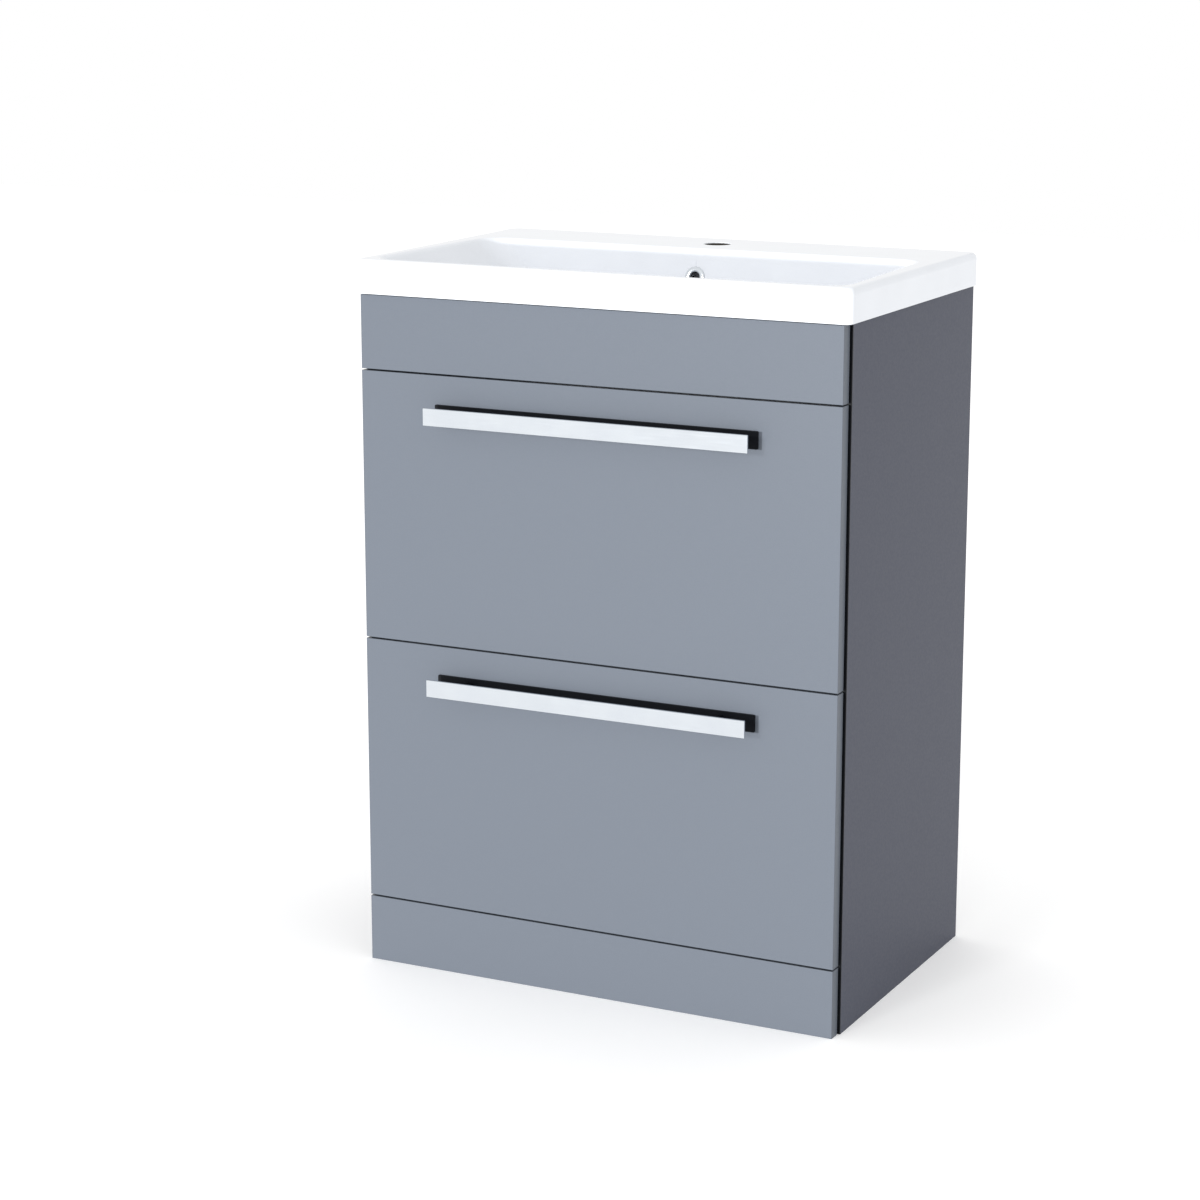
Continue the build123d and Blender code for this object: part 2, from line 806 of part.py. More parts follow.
def cabinet_nodes():
    nodes = {
        "side_panel_left": side_panel(-1),
        "side_panel_right": side_panel(1),
        "base_panel": base_panel(),
        "middle_rail": middle_rail(),
        "front_rail": front_rail(),
        "rear_top_rail": rear_top_rail(),
        "rear_bottom_rail": rear_bottom_rail(),
        "fascia_panel": fascia_panel(),
        "plinth_panel": plinth_panel(),
        "plinth_blocks": plinth_blocks(),
        "panel_screws": panel_screws(),
        "bumpers": bumpers(),
        "dowels": dowels(),
        "cam_locks": cam_locks(),
        "cam_bolts": cam_bolts(),
        "basin": basin(),
        "overflow_ring": overflow_ring(),
        "basin_sealant": basin_sealant(),
        "runner_screws": [runner_screw(side, y, level) for level in drawer_levels.values()
                          for side in (-1, 1) for y in runner_screw_ys()],
    }
    for name, level in drawer_levels.items():
        nodes[name + "_cabinet_rail_left"] = cabinet_rail(level, -1)
        nodes[name + "_cabinet_rail_right"] = cabinet_rail(level, 1)
    return nodes


def drawer_nodes(name):
    level = drawer_levels[name]
    notched = name == "upper"
    nodes = {
        "drawer_front": drawer_front(level),
        "box_front": box_front(level),
        "box_side_left": box_side(level, -1),
        "box_side_right": box_side(level, 1),
        "box_back": box_back(level, notched),
        "box_base": box_base(level, notched),
        "front_screws": front_screws(level),
        "handle_bar": handle_bar(level),
        "handle_back_plate": handle_back_plate(level),
        "handle_posts": handle_posts(level),
        "handle_screws": handle_screws(level),
        "drawer_rail_left": drawer_rail(level, -1),
        "drawer_rail_right": drawer_rail(level, 1),
        "rail_screws": [rail_screw(side, y, level) for side in (-1, 1) for y in runner_screw_ys()],
        "middle_rails": middle_rails(level),
        "outer_ball_cages": outer_ball_cages(level),
        "inner_ball_cages": inner_ball_cages(level),
    }
    if notched:
        nodes["trap_surround_sides"] = trap_surround_sides(level)
        nodes["trap_surround_front"] = trap_surround_front(level)
    return {name + "_" + key: shape for key, shape in nodes.items()}


os.makedirs("parts", exist_ok=True)
all_nodes = cabinet_nodes()
for drawer in drawer_levels:
    all_nodes.update(drawer_nodes(drawer))
for node, shape in all_nodes.items():
    whole = Compound(children=shape) if isinstance(shape, list) else shape
    export_step(whole, "parts/" + node + ".step")
print(len(all_nodes), "nodes written")
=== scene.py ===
import bpy
import bmesh
import json
import math
from mathutils import Matrix, Vector


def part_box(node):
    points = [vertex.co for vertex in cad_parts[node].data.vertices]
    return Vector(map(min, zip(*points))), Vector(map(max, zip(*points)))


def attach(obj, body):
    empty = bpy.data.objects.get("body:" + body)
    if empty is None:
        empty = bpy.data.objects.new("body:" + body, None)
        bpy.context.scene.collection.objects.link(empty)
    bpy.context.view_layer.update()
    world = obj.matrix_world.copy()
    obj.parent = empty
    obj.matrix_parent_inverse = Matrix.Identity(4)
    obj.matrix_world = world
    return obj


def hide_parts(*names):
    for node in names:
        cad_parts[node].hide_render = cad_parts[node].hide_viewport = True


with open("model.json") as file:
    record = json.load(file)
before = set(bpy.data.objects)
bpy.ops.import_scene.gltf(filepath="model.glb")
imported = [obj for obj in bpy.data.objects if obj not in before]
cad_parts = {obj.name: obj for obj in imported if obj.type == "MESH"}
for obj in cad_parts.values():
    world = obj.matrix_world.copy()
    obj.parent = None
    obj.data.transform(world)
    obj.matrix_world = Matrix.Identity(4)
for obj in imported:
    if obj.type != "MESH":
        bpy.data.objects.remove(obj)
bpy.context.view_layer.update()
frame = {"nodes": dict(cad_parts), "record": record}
print("frame loaded,", len(frame["nodes"]), "nodes")

sceneNow = bpy.context.scene
sceneNow.view_settings.view_transform = "Standard"
mm = 0.001

# planes that several pieces are placed from
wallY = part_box("rear_top_rail")[1].y
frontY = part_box("fascia_panel")[0].y
drawers = ("upper", "lower")


def hexColor(text, alpha=1.0):
    # sRGB hex to linear
    parts = [int(text[i:i + 2], 16) / 255 for i in (0, 2, 4)]
    return tuple(c / 12.92 if c <= 0.04045 else ((c + 0.055) / 1.055) ** 2.4 for c in parts) + (alpha,)


def addNode(tree, kind, links=None, **settings):
    # one node: settings are properties or input values, links are (input, node, output)
    node = tree.nodes.new(kind)
    for key, value in settings.items():
        if hasattr(node, key):
            setattr(node, key, value)
        else:
            node.inputs[key.replace("_", " ")].default_value = value
    for socket, other, output in links or []:
        tree.links.new(other.outputs[output], node.inputs[socket])
    return node


def newMaterial(name):
    material = bpy.data.materials.new(name)
    material.use_nodes = True
    material.node_tree.nodes.clear()
    return material, material.node_tree


def perMetre(sizeMm):
    # noise scale that gives features of about this size
    return 1000 / sizeMm


def noiseOn(tree, coords, sizeMm, detail=2.0, roughness=0.5, stretch=None):
    # noise in object space, optionally drawn out along an axis
    source, output = coords, "Object"
    if stretch:
        source = addNode(tree, "ShaderNodeMapping", [("Vector", coords, "Object")], Scale=stretch)
        output = "Vector"
    return addNode(tree, "ShaderNodeTexNoise", [("Vector", source, output)],
                   Scale=perMetre(sizeMm), Detail=detail, Roughness=roughness)


def rampOf(tree, source, output, stops):
    # color ramp from (position, hex) stops
    ramp = addNode(tree, "ShaderNodeValToRGB", [("Fac", source, output)])
    elements = ramp.color_ramp.elements
    while len(elements) < len(stops):
        elements.new(0.5)
    for element, (place, color) in zip(elements, stops):
        element.position = place
        element.color = hexColor(color)
    return ramp


def rangeOf(tree, source, output, low, high, fromLow=0.35, fromHigh=0.65):
    return addNode(tree, "ShaderNodeMapRange", [("Value", source, output)],
                   From_Min=fromLow, From_Max=fromHigh, To_Min=low, To_Max=high)


def finishMaterial(tree, color, rough, bump, **fixed):
    # principled shader fed by (node, output) pairs; fixed values go on its own sockets
    links = [("Base Color", *color)] if color else []
    if rough:
        links.append(("Roughness", *rough))
    if bump:
        links.append(("Normal", *bump))
    shader = addNode(tree, "ShaderNodeBsdfPrincipled", links)
    for key, value in fixed.items():
        shader.inputs[key.replace("_", " ")].default_value = value
    addNode(tree, "ShaderNodeOutputMaterial", [("Surface", shader, "BSDF")])


def bumpFrom(tree, source, output, strength, depthMm, under=None):
    links = [("Height", source, output)]
    if under:
        links.append(("Normal", under, "Normal"))
    return addNode(tree, "ShaderNodeBump", links, Strength=strength, Distance=depthMm * mm)


def sprayedLacquer(name, pale, deep, gloss, shadedEdgeBefore=None):
    # two-pack lacquer sprayed on MDF: an even satin skin with faint orange peel in its highlights
    material, tree = newMaterial(name)
    coords = addNode(tree, "ShaderNodeTexCoord")
    grain = noiseOn(tree, coords, 1.2, detail=2.0)
    peel = noiseOn(tree, coords, 3.2, detail=1.0)
    color = rampOf(tree, grain, "Fac", [(0.3, deep), (0.7, pale)])
    rough = rangeOf(tree, peel, "Fac", gloss - 0.03, gloss + 0.03)
    skin = bumpFrom(tree, peel, "Fac", 0.05, 0.06)
    output = "Color"
    if shadedEdgeBefore is not None:
        # near-black strip on the side panel's front edge, behind the fronts: painted shadow for the gap
        # between the fronts and the side
        split = addNode(tree, "ShaderNodeSeparateXYZ", [("Vector", coords, "Object")])
        edgeShade = rangeOf(tree, split, "Y", 0.0, 1.0, shadedEdgeBefore + 0.9 * mm, shadedEdgeBefore + 0.7 * mm)
        mixed = addNode(tree, "ShaderNodeMix", data_type="RGBA")
        tree.links.new(edgeShade.outputs["Result"], mixed.inputs[0])
        tree.links.new(color.outputs["Color"], mixed.inputs[6])
        mixed.inputs[7].default_value = hexColor("0B0E13")
        color, output = mixed, 2
    finishMaterial(tree, (color, output), (rough, "Result"), (skin, "Normal"),
                   IOR=1.5, Specular_IOR_Level=0.16)
    return material


def melamineBoard(name, face, shade, gloss=0.42):
    # decor paper pressed on chipboard: a slightly mottled print under fine embossed pores
    material, tree = newMaterial(name)
    coords = addNode(tree, "ShaderNodeTexCoord")
    fleck = noiseOn(tree, coords, 6, detail=4.0, roughness=0.6)
    pores = noiseOn(tree, coords, 1.1, detail=1.0, stretch=(1.0, 0.25, 1.0))
    color = rampOf(tree, fleck, "Fac", [(0.35, shade), (0.62, face)])
    rough = rangeOf(tree, pores, "Fac", gloss - 0.05, gloss + 0.06)
    bump = bumpFrom(tree, pores, "Fac", 0.12, 0.08)
    finishMaterial(tree, (color, "Color"), (rough, "Result"), (bump, "Normal"), IOR=1.5)
    return material


def glazedChina(name):
    # vitreous china under a fired clear-white glaze: deep gloss, slow waves, a few pinholes
    material, tree = newMaterial(name)
    coords = addNode(tree, "ShaderNodeTexCoord")
    wave = noiseOn(tree, coords, 55, detail=1.0)
    pin = noiseOn(tree, coords, 0.7, detail=2.0, roughness=0.7)
    color = rampOf(tree, wave, "Fac", [(0.3, "DFE2E7"), (0.7, "E2E5EA")])
    rough = rangeOf(tree, pin, "Fac", 0.05, 0.09)
    slow = bumpFrom(tree, wave, "Fac", 0.10, 0.5)
    fine = bumpFrom(tree, pin, "Fac", 0.02, 0.05, under=slow)
    finishMaterial(tree, (color, "Color"), (rough, "Result"), (fine, "Normal"),
                   IOR=1.45, Coat_Weight=0.15, Coat_Roughness=0.04, Coat_IOR=1.5)
    return material


def shadedBisqueChina(name):
    # the same clay left unglazed underneath: dull, sandy, warmer in tint; its colour is set much darker than
    # the real clay, painted shade for the hollow underside and the tap hole's bore
    material, tree = newMaterial(name)
    coords = addNode(tree, "ShaderNodeTexCoord")
    sand = noiseOn(tree, coords, 1.4, detail=5.0, roughness=0.7)
    blot = noiseOn(tree, coords, 30, detail=3.0)
    color = rampOf(tree, blot, "Fac", [(0.3, "5C574E"), (0.7, "6C665C")])
    rough = rangeOf(tree, sand, "Fac", 0.75, 0.95)
    bump = bumpFrom(tree, sand, "Fac", 0.35, 0.25)
    finishMaterial(tree, (color, "Color"), (rough, "Result"), (bump, "Normal"), IOR=1.5)
    return material


def chromePlate(name):
    # bright chrome over polished nickel: mirror with a trace of buffing along the bar
    material, tree = newMaterial(name)
    coords = addNode(tree, "ShaderNodeTexCoord")
    buff = noiseOn(tree, coords, 0.8, detail=2.0, stretch=(0.03, 1.0, 1.0))
    haze = noiseOn(tree, coords, 25, detail=2.0)
    color = rampOf(tree, haze, "Fac", [(0.3, "D1D6DC"), (0.7, "D5DADF")])
    rough = rangeOf(tree, buff, "Fac", 0.06, 0.14)
    bump = bumpFrom(tree, buff, "Fac", 0.02, 0.02)
    finishMaterial(tree, (color, "Color"), (rough, "Result"), (bump, "Normal"), Metallic=1.0)
    return material


def powderCoat(name):
    # baked black powder on steel: matt, with a fine leathery nap
    material, tree = newMaterial(name)
    coords = addNode(tree, "ShaderNodeTexCoord")
    nap = noiseOn(tree, coords, 0.8, detail=2.0)
    color = rampOf(tree, nap, "Fac", [(0.3, "04060A"), (0.7, "080C14")])
    rough = rangeOf(tree, nap, "Fac", 0.45, 0.6)
    bump = bumpFrom(tree, nap, "Fac", 0.2, 0.08)
    finishMaterial(tree, (color, "Color"), (rough, "Result"), (bump, "Normal"),
                   IOR=1.5, Specular_IOR_Level=0.12)
    return material


def platedSteel(name, pale, deep, low, high, stretch=(1.0, 0.06, 1.0), metal=1.0):
    # rolled steel strip, zinc plated: rolling lines along the strip, a cloudy bluish bloom
    material, tree = newMaterial(name)
    coords = addNode(tree, "ShaderNodeTexCoord")
    lines = noiseOn(tree, coords, 0.9, detail=3.0, stretch=stretch)
    bloom = noiseOn(tree, coords, 14, detail=4.0, roughness=0.6)
    color = rampOf(tree, bloom, "Fac", [(0.3, deep), (0.7, pale)])
    rough = rangeOf(tree, lines, "Fac", low, high)
    bump = bumpFrom(tree, lines, "Fac", 0.08, 0.03)
    finishMaterial(tree, (color, "Color"), (rough, "Result"), (bump, "Normal"), Metallic=metal)
    return material


def castZinc(name):
    # die-cast zinc alloy: grey, grainy skin with soft sheen
    material, tree = newMaterial(name)
    coords = addNode(tree, "ShaderNodeTexCoord")
    grain = noiseOn(tree, coords, 0.6, detail=4.0, roughness=0.65)
    color = rampOf(tree, grain, "Fac", [(0.3, "8D8F90"), (0.7, "B4B6B6")])
    rough = rangeOf(tree, grain, "Fac", 0.42, 0.6)
    bump = bumpFrom(tree, grain, "Fac", 0.25, 0.06)
    finishMaterial(tree, (color, "Color"), (rough, "Result"), (bump, "Normal"), Metallic=0.9)
    return material


def sawnWood(name, pale, dark, ringMm, along):
    # planed softwood or turned beech: rings stretched along the grain, pores across it
    material, tree = newMaterial(name)
    coords = addNode(tree, "ShaderNodeTexCoord")
    grain = noiseOn(tree, coords, ringMm, detail=5.0, roughness=0.6, stretch=along)
    fibre = noiseOn(tree, coords, 0.5, detail=2.0, stretch=along)
    color = rampOf(tree, grain, "Fac", [(0.32, dark), (0.5, pale), (0.68, dark)])
    rough = rangeOf(tree, fibre, "Fac", 0.55, 0.75)
    bump = bumpFrom(tree, fibre, "Fac", 0.2, 0.1)
    finishMaterial(tree, (color, "Color"), (rough, "Result"), (bump, "Normal"), IOR=1.5)
    return material


def softMoulding(name, pale, deep, sizeMm, low, high, **fixed):
    # moulded elastomer or tooled silicone: soft sheen, a slightly uneven skin
    material, tree = newMaterial(name)
    coords = addNode(tree, "ShaderNodeTexCoord")
    skin = noiseOn(tree, coords, sizeMm, detail=2.0)
    color = rampOf(tree, skin, "Fac", [(0.3, deep), (0.7, pale)])
    rough = rangeOf(tree, skin, "Fac", low, high)
    bump = bumpFrom(tree, skin, "Fac", 0.15, 0.15)
    finishMaterial(tree, (color, "Color"), (rough, "Result"), (bump, "Normal"), **fixed)
    return material


finishes = {
    "grey_front": sprayedLacquer("satinLacquerFront", "626871", "5F656E", 0.34),
    # the side copy of the lacquer is set darker than the front: painted shade for the side faces turned away
    # from the light
    "grey_side": sprayedLacquer("shadedSatinLacquerSide", "404452", "3E414F", 0.40,
                                shadedEdgeBefore=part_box("side_panel_right")[0].y),
    "carcass_board": melamineBoard("greyMelamine", "8C9197", "858A90"),
    "drawer_board": melamineBoard("paleGreyMelamine", "C8CBCD", "C4C7CA", gloss=0.48),
    "softwood_block": sawnWood("planedSpruce", "DDBF8C", "B98F5B", 4.0, (0.12, 1.0, 1.0)),
    "beech_dowel": sawnWood("turnedBeech", "D9B384", "BF9766", 1.5, (0.1, 1.0, 1.0)),
    "soft_bumper": softMoulding("clearGreyElastomer", "3A3D40", "2E3134", 3.0, 0.3, 0.45, IOR=1.45),
    "white_ceramic": glazedChina("glazedVitreousChina"),
    "silicone": softMoulding("whiteSiliconeBead", "EDEDEA", "E2E2DE", 5.0, 0.3, 0.42, IOR=1.41),
    "chrome": chromePlate("brightChromePlate"),
    "black_metal": powderCoat("blackPowderCoat"),
    "zinc_cam": castZinc("dieCastZinc"),
    "ball_cage_steel": platedSteel("pressedCageSteel", "B9B6AE", "9E9B94", 0.25, 0.4),
    "zinc_runner": platedSteel("brightZincStrip", "BFC4C9", "B5BAC0", 0.26, 0.34),
    "screw_steel": platedSteel("zincPlatedScrew", "CDCCC2", "AAA99F", 0.2, 0.35, (1.0, 1.0, 1.0)),
}
# dark unglazed clay for the underside and the tap hole's bore: real unglazed surface, painted shade in its
# dark colour
shadedBisque = shadedBisqueChina("unglazedChinaPaintedShade")

for part in frame["record"]["subparts"]:
    node = frame["nodes"][part["node"]]
    node.data.materials.clear()
    node.data.materials.append(finishes[part["material_slot"]])
print("materials made,", len(finishes) + 1)


def linkMesh(name, mesh):
    piece = bpy.data.objects.new(name, mesh)
    sceneNow.collection.objects.link(piece)
    return piece


def meshFrom(name, verts, faces):
    mesh = bpy.data.meshes.new(name)
    mesh.from_pydata([tuple(v) for v in verts], [], faces)
    mesh.update()
    return mesh


def bakeModifiers(piece):
    # replaces the piece's mesh by what its modifiers make of it
    bpy.context.view_layer.update()
    evaluated = piece.evaluated_get(bpy.context.evaluated_depsgraph_get())
    mesh = bpy.data.meshes.new_from_object(evaluated)
    piece.modifiers.clear()
    piece.data = mesh
    return mesh


def giveTo(piece, body, slot, *nodes):
    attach(piece, body)
    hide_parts(*nodes)


def smoothFaces(mesh):
    mesh.polygons.foreach_set("use_smooth", [True] * len(mesh.polygons))


def addBevel(piece, width, segments, method="ANGLE"):
    bevel = piece.modifiers.new("edges", "BEVEL")
    bevel.width = width
    bevel.segments = segments
    bevel.limit_method = method
    bevel.use_clamp_overlap = False
    return bevel


def addWeighted(piece):
    piece.modifiers.new("flats", "WEIGHTED_NORMAL").keep_sharp = True


basinShape = {
    "edgeHeight": 39 * mm, "corner": 10 * mm, "edgeRound": 8 * mm, "wall": 12 * mm,
    "bowlWall": 10 * mm, "sideRim": 16 * mm, "sideTaper": 10 * mm, "frontRim": 18 * mm,
    "rearRim": 118 * mm, "bowlDepth": 108 * mm, "bowlCorner": 28 * mm, "floorCorner": 30 * mm,
    "endSlope": 108 * mm, "frontSlope": 52 * mm, "rearSlope": 24 * mm,
    "floorRound": 26 * mm, "lipRound": 5 * mm, "footRound": 1.5 * mm,
    "wasteFromWall": 210 * mm, "wasteRadius": 22.5 * mm, "wasteRecess": 33 * mm,
    "recessDepth": 3 * mm, "bossRadius": 33.5 * mm, "bossDrop": 20 * mm,
    "tapFromWall": 62 * mm, "tapRadius": 16 * mm, "tapRound": 1 * mm, "tapFlare": 11 * mm,
    "overflowDrop": 33 * mm, "overflowRadius": 10 * mm,
    "channelWidth": 30 * mm, "channelDepth": 9 * mm, "channelWall": 8 * mm,
    "recessRound": 1.2 * mm, "recessFloorRound": 1 * mm, "boreRound": 0.8 * mm,
    "bossRound": 1.5 * mm, "bossRootRound": 4 * mm,
    "castRound": 5 * mm, "castOverlap": 1 * mm, "footOverlap": 4 * mm, "voidOverlap": 0.5 * mm,
    "offset": 0.01 * mm, "tapLand": 0.3 * mm, "tapClear": 2 * mm, "flareClear": 1 * mm,
    "cornerSteps": 12, "sideSteps": 10, "longSteps": 18, "boreSteps": 40, "tapSteps": 64,
    "mouthSteps": 6, "roundSteps": 8,
}


def roundedRing(xFront, xRear, y0, y1, z, corner):
    # points round a four-sided outline with round corners, in the order
    # front right, rear right, rear left, front left
    shape = basinShape
    points = []
    centres = [(1, y0 + corner, -90), (1, y1 - corner, 0), (-1, y1 - corner, 90), (-1, y0 + corner, 180)]
    for index, (side, cy, start) in enumerate(centres):
        for step in range(shape["cornerSteps"] + 1):
            angle = math.radians(start + 90 * step / shape["cornerSteps"])
            x = side * (xFront - corner) + corner * math.cos(angle)
            y = cy + corner * math.sin(angle)
            points.append([x, y])
        nextSide, nextY, nextStart = centres[(index + 1) % 4]
        angle = math.radians(nextStart)
        endX = nextSide * (xFront - corner) + corner * math.cos(angle)
        endY = nextY + corner * math.sin(angle)
        steps = shape["longSteps"] if index % 2 else shape["sideSteps"]
        startX, startY = points[-1]
        for step in range(1, steps):
            share = step / steps
            points.append([startX + (endX - startX) * share, startY + (endY - startY) * share])
    ring = []
    for x, y in points:
        share = (y - y0) / (y1 - y0)
        ring.append(Vector((x * (xFront + (xRear - xFront) * share) / xFront, y, z)))
    return ring


def circleRing(like, cx, cy, radius, z):
    # a circle whose points face the points of another ring
    return [Vector((cx, cy, z)) + radius * Vector((p.x - cx, p.y - cy, 0)).normalized() for p in like]


def bowlRing(drop, grow, reach=0.0):
    shape = basinShape
    share = (drop + reach) / shape["bowlDepth"]
    low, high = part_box("basin")
    y0 = low.y + shape["frontRim"] + shape["frontSlope"] * share - grow
    y1 = wallY - shape["rearRim"] - shape["rearSlope"] * share + grow
    xFront = high.x - shape["sideRim"] - shape["endSlope"] * share + grow
    corner = shape["bowlCorner"] + (shape["floorCorner"] - shape["bowlCorner"]) * share + grow
    return roundedRing(xFront, xFront - shape["sideTaper"], y0, y1, high.z - drop, corner)


def ringSkin(name, rings, rounds, lastGlazed):
    # a closed skin through rings; rounds gives a bevel width for a ring's own edges
    count = len(rings[0])
    verts = [point for ring in rings for point in ring]
    faces = []
    for r in range(len(rings)):
        n = (r + 1) % len(rings)
        for i in range(count):
            j = (i + 1) % count
            faces.append((r * count + i, r * count + j, n * count + j, n * count + i))
    mesh = meshFrom(name, verts, faces)
    work = bmesh.new()
    work.from_mesh(mesh)
    bmesh.ops.recalc_face_normals(work, faces=work.faces)
    widest = max(rounds.values())
    layer = work.edges.layers.float.new("bevel_weight_edge")
    for edge in work.edges:
        a, b = (v.index // count for v in edge.verts)
        if a == b and a in rounds:
            edge[layer] = rounds[a] / widest
    for face in work.faces:
        # rings from lastGlazed on are the unglazed underside and get the dark clay: painted shade
        face.material_index = 0 if min(v.index // count for v in face.verts) < lastGlazed else 1
        face.smooth = True
    work.to_mesh(mesh)
    work.free()
    return mesh, widest


def lathe(name, profile, steps, place):
    # a closed solid from (radius, height) points, turned round its own Z and then placed
    verts, faces, rings = [], [], []
    for radius, height in profile:
        if radius < 1e-7:
            rings.append([len(verts)])
            verts.append(Vector((0, 0, height)))
            continue
        rings.append(list(range(len(verts), len(verts) + steps)))
        for step in range(steps):
            angle = 2 * math.pi * step / steps
            verts.append(Vector((radius * math.cos(angle), radius * math.sin(angle), height)))
    pairs = list(zip(rings, rings[1:]))
    if len(rings[0]) > 1:
        pairs.append((rings[-1], rings[0]))
    for a, b in pairs:
        for step in range(steps):
            nextStep = (step + 1) % steps
            loop = [a[step % len(a)], a[nextStep % len(a)], b[nextStep % len(b)], b[step % len(b)]]
            loop = [v for n, v in enumerate(loop) if v not in loop[:n]]
            if len(loop) > 2:
                faces.append(loop)
    mesh = meshFrom(name, [place @ v for v in verts], faces)
    work = bmesh.new()
    work.from_mesh(mesh)
    bmesh.ops.recalc_face_normals(work, faces=work.faces)
    work.to_mesh(mesh)
    work.free()
    return mesh


def boxMesh(name, low, high):
    corners = [(x, y, z) for x in (low[0], high[0]) for y in (low[1], high[1]) for z in (low[2], high[2])]
    faces = [(0, 1, 3, 2), (4, 6, 7, 5), (0, 4, 5, 1), (2, 3, 7, 6), (0, 2, 6, 4), (1, 5, 7, 3)]
    return meshFrom(name, corners, faces)


def carve(piece, tool, operation):
    # exact boolean with a scratch object, which is then removed
    cut = piece.modifiers.new("carve", "BOOLEAN")
    cut.operation = operation
    cut.solver = "EXACT"
    cut.object = tool
    bakeModifiers(piece)
    bpy.data.objects.remove(tool)


def overflowPlace():
    shape = basinShape
    tilt = math.atan2(shape["rearSlope"], shape["bowlDepth"])
    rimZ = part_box("basin")[1].z
    y = wallY - shape["rearRim"] - shape["rearSlope"] * shape["overflowDrop"] / shape["bowlDepth"]
    turn = Matrix.Rotation(math.radians(90) - tilt, 4, "X")
    return Matrix.Translation((0, y, rimZ - shape["overflowDrop"])) @ turn


def makeBasin():
    shape = basinShape
    low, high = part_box("basin")
    rimZ, footZ = high.z, high.z - shape["edgeHeight"]
    half, wall = high.x, shape["wall"]
    wasteY = wallY - shape["wasteFromWall"]
    floorZ = rimZ - shape["bowlDepth"]
    underZ = floorZ - shape["bowlWall"]
    outer = roundedRing(half, half, low.y, wallY, footZ, shape["corner"])
    inner = roundedRing(half - wall, half - wall, low.y + wall, wallY - wall, footZ, shape["corner"] / 2)
    floorRing = bowlRing(shape["bowlDepth"], 0)
    lift = Vector((0, 0, shape["edgeHeight"]))
    hollowLift = Vector((0, 0, shape["edgeHeight"] - wall))
    rings = [
        outer,
        [p + lift for p in outer],
        bowlRing(0, 0),
        floorRing,
        circleRing(floorRing, 0, wasteY, shape["wasteRecess"], floorZ),
        circleRing(floorRing, 0, wasteY, shape["wasteRecess"], floorZ - shape["recessDepth"]),
        circleRing(floorRing, 0, wasteY, shape["wasteRadius"], floorZ - shape["recessDepth"]),
        circleRing(floorRing, 0, wasteY, shape["wasteRadius"], underZ - shape["bossDrop"]),
        circleRing(floorRing, 0, wasteY, shape["bossRadius"], underZ - shape["bossDrop"]),
        circleRing(floorRing, 0, wasteY, shape["bossRadius"], underZ),
        bowlRing(shape["bowlDepth"] + shape["bowlWall"], shape["bowlWall"], -shape["bowlWall"]),
        bowlRing(wall, shape["bowlWall"]),
        [p + hollowLift for p in inner],
        inner,
    ]
    rounds = {0: shape["footRound"], 1: shape["edgeRound"], 2: shape["lipRound"], 3: shape["floorRound"],
              4: shape["recessRound"], 5: shape["recessFloorRound"], 6: shape["boreRound"],
              8: shape["bossRound"], 9: shape["bossRootRound"], 10: shape["floorRound"],
              13: shape["footRound"]}
    mesh, widest = ringSkin("basinBody", rings, rounds, 7)
    piece = linkMesh("basinBody", mesh)
    mesh.materials.append(finishes["white_ceramic"])
    mesh.materials.append(shadedBisque)
    addBevel(piece, widest, shape["roundSteps"], "WEIGHT")
    bakeModifiers(piece)
    # overflow channel: a hump cast behind the bowl, hollow inside
    back = wallY - shape["rearRim"] + shape["bowlWall"] + shape["channelDepth"]
    channelHalf, cast = shape["channelWidth"] / 2, shape["channelWall"]
    channelLow = underZ - shape["channelDepth"]
    hump = linkMesh("hump", boxMesh("hump", (-channelHalf - cast, 0, channelLow - cast),
                                    (channelHalf + cast, back + cast, rimZ - wall + shape["castOverlap"])))
    for vert in hump.data.vertices:
        if vert.co.y < back:
            # the near face leans with the bowl's rear wall, in the middle of its thickness
            drop = rimZ - vert.co.z
            vert.co.y = (wallY - shape["rearRim"] - shape["rearSlope"] * drop / shape["bowlDepth"]
                         + shape["bowlWall"] / 2)
    addBevel(hump, shape["castRound"], 3)
    foot = linkMesh("foot", boxMesh("foot", (-channelHalf - cast, wasteY, channelLow - cast),
                                    (channelHalf + cast, back, floorZ - shape["footOverlap"])))
    for tool in (hump, foot):
        tool.data.materials.append(finishes["white_ceramic"])
        tool.data.materials.append(shadedBisque)
        bakeModifiers(tool)
        # the channel hump and foot take the dark unglazed clay: painted shade under the basin
        tool.data.polygons.foreach_set("material_index", [1] * len(tool.data.polygons))
        carve(piece, tool, "UNION")
    bore, reach = shape["overflowRadius"], 2 * shape["bowlWall"]
    voids = [
        boxMesh("void", (-channelHalf, back - shape["channelDepth"], channelLow),
                (channelHalf, back, rimZ - shape["overflowDrop"] + shape["overflowRadius"])),
        boxMesh("void", (-channelHalf, wasteY, channelLow + shape["offset"]),
                (channelHalf, back - shape["offset"], underZ + shape["voidOverlap"])),
        lathe("void", [(0, -reach), (bore, -reach), (bore, reach), (0, reach)],
              shape["boreSteps"], overflowPlace()),
        lathe("tapHole", tapHoleProfile(), shape["tapSteps"],
              Matrix.Translation((0, wallY - shape["tapFromWall"], rimZ))),
    ]
    for mesh in voids:
        mesh.materials.append(finishes["white_ceramic"])
        mesh.materials.append(shadedBisque)
    # below its rounded lip the tap hole's bore takes the dark unglazed clay instead of glaze: painted shade
    # that makes the hole read black
    boreShadeTop = rimZ - shape["tapRound"]
    for face in voids[-1].polygons:
        face.material_index = int(face.center.z < boreShadeTop)
    for mesh in voids:
        carve(piece, linkMesh("tool", mesh), "DIFFERENCE")
    smoothFaces(piece.data)
    addWeighted(piece)
    bakeModifiers(piece)
    giveTo(piece, "cabinet", "white_ceramic", "basin")
    return piece


